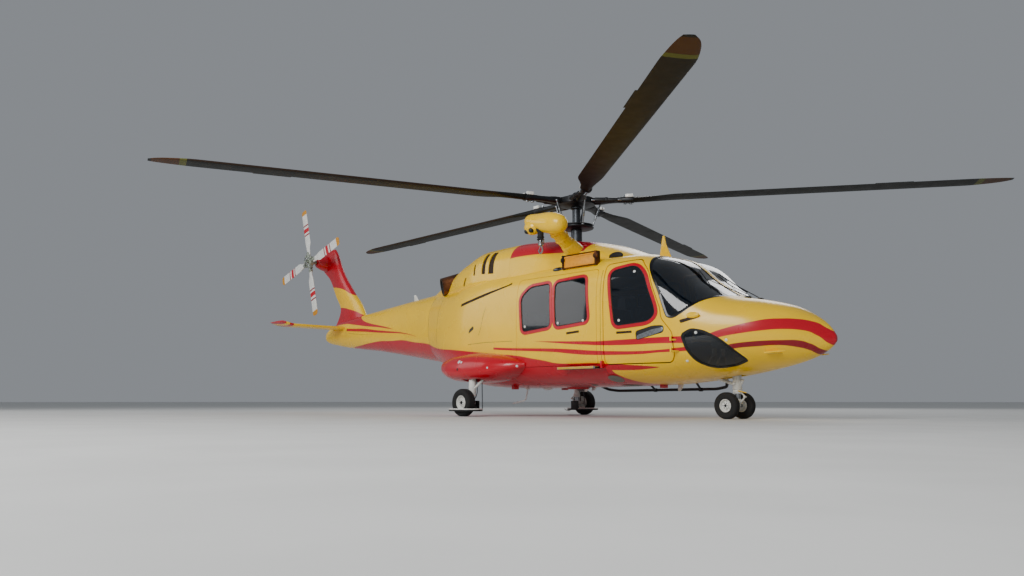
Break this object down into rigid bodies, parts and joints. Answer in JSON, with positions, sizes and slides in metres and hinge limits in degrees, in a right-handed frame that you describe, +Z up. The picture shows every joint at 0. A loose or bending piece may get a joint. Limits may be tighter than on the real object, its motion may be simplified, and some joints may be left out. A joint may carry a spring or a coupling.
{
  "type": "twin-engined rescue helicopter",
  "caption": "Medium rescue helicopter on wheels, with a main and a tail rotor, hinged cockpit doors, plug cabin doors, hoist, snow pads and boarding steps.",
  "frame": {"origin": "on the ground, below the middle of the box round the whole machine, on its centre plane: the main rotor axis stands 1.9 m nearer the nose", "axes": "+X towards the nose, +Y to the machine's left, +Z up"},
  "size_m": [15.3796, 13.1547, 4.9076],
  "materials": {
    "yellow_painted_skin": "gloss",
    "yellow_painted_composite": "gloss",
    "red_painted_composite": "gloss",
    "tinted_glazing": "polished",
    "dark_interior": "matte",
    "pale_trim": "matte",
    "seat_cloth": "matte",
    "machined_steel": "satin",
    "heat_stained_steel": "satin",
    "white_gear_paint": "gloss",
    "tyre_rubber": "matte",
    "black_moulded_plastic": "matte",
    "black_blade_skin": "satin",
    "white_blade_skin": "gloss",
    "black_painted_tube": "satin"
  },
  "bodies": {
    "airframe": {"fuselage_shell": "yellow_painted_skin", "cabin_door_left": "yellow_painted_skin", "cabin_door_right": "yellow_painted_skin", "cabin_window_aft_left": "tinted_glazing", "cabin_window_fore_left": "tinted_glazing", "cabin_window_aft_right": "tinted_glazing", "cabin_window_fore_right": "tinted_glazing", "windscreen_left": "tinted_glazing", "windscreen_right": "tinted_glazing", "chin_window_left": "tinted_glazing", "chin_window_right": "tinted_glazing", "cabin_floor": "dark_interior", "rear_bulkhead": "pale_trim", "instrument_panel": "dark_interior", "pilot_seat_left": "seat_cloth", "pilot_seat_right": "seat_cloth", "cabin_seats_aft": "seat_cloth", "cabin_seats_fore": "seat_cloth", "engines_and_gearbox": "machined_steel", "mast_fairing": "red_painted_composite", "engine_cowling": "yellow_painted_composite", "exhaust_left": "heat_stained_steel", "exhaust_right": "heat_stained_steel", "tail_boom": "yellow_painted_composite", "tail_fin": "red_painted_composite", "tail_gearbox_fairing": "red_painted_composite", "stabiliser_left": "yellow_painted_composite", "stabiliser_right": "yellow_painted_composite", "sponson_left": "red_painted_composite", "sponson_right": "red_painted_composite", "main_leg_left": "white_gear_paint", "main_leg_right": "white_gear_paint", "snow_pad_left": "black_moulded_plastic", "snow_pad_right": "black_moulded_plastic", "nose_leg_upper": "white_gear_paint", "rescue_hoist": "yellow_painted_composite", "step_rail_left": "black_painted_tube", "step_board_right": "black_painted_tube", "wire_cutter": "yellow_painted_skin"},
    "main_rotor": {"main_rotor_hub": "machined_steel", "main_blade_1": "black_blade_skin", "main_blade_2": "black_blade_skin", "main_blade_3": "black_blade_skin", "main_blade_4": "black_blade_skin", "main_blade_5": "black_blade_skin"},
    "tail_rotor": {"tail_rotor": "white_blade_skin"},
    "cockpit_door_left": {"cockpit_door_left": "yellow_painted_skin", "cockpit_door_window_left": "tinted_glazing"},
    "cockpit_door_right": {"cockpit_door_right": "yellow_painted_skin", "cockpit_door_window_right": "tinted_glazing"},
    "main_wheel_left": {"main_rim_left": "white_gear_paint", "main_tyre_left": "tyre_rubber"},
    "main_wheel_right": {"main_rim_right": "white_gear_paint", "main_tyre_right": "tyre_rubber"},
    "nose_gear": {"nose_leg_swivel": "white_gear_paint"},
    "nose_wheels": {"nose_wheel_rims": "white_gear_paint", "nose_tyre_left": "tyre_rubber", "nose_tyre_right": "tyre_rubber"}
  },
  "joints": [
    {"name": "main_rotor_spin", "type": "hinge", "parent": "airframe", "child": "main_rotor", "pos_m": [1.9, 0, 3.7], "axis": [0, 0, 1], "continuous": true},
    {"name": "tail_rotor_spin", "type": "hinge", "parent": "airframe", "child": "tail_rotor", "pos_m": [-6.38, -0.5, 3.58], "axis": [0, -1, 0], "continuous": true},
    {"name": "main_wheel_left_spin", "type": "hinge", "parent": "airframe", "child": "main_wheel_left", "pos_m": [0.67, 1.5, 0.23], "axis": [0, 1, 0], "continuous": true},
    {"name": "main_wheel_right_spin", "type": "hinge", "parent": "airframe", "child": "main_wheel_right", "pos_m": [0.67, -1.5, 0.23], "axis": [0, 1, 0], "continuous": true},
    {"name": "nose_gear_steer", "type": "hinge", "parent": "airframe", "child": "nose_gear", "pos_m": [5, 0, 0.42], "axis": [0, 0, 1], "range_deg": [-60, 60]},
    {"name": "nose_wheels_spin", "type": "hinge", "parent": "nose_gear", "child": "nose_wheels", "pos_m": [4.95, 0, 0.19], "axis": [0, 1, 0], "continuous": true},
    {"name": "cockpit_door_left_hinge", "type": "hinge", "parent": "airframe", "child": "cockpit_door_left", "pos_m": [4.635, 1.065, 0.96], "axis": [0, 0, -1], "range_deg": [0, 75]},
    {"name": "cockpit_door_right_hinge", "type": "hinge", "parent": "airframe", "child": "cockpit_door_right", "pos_m": [4.635, -1.065, 0.96], "axis": [0, 0, 1], "range_deg": [0, 75]}
  ]
}
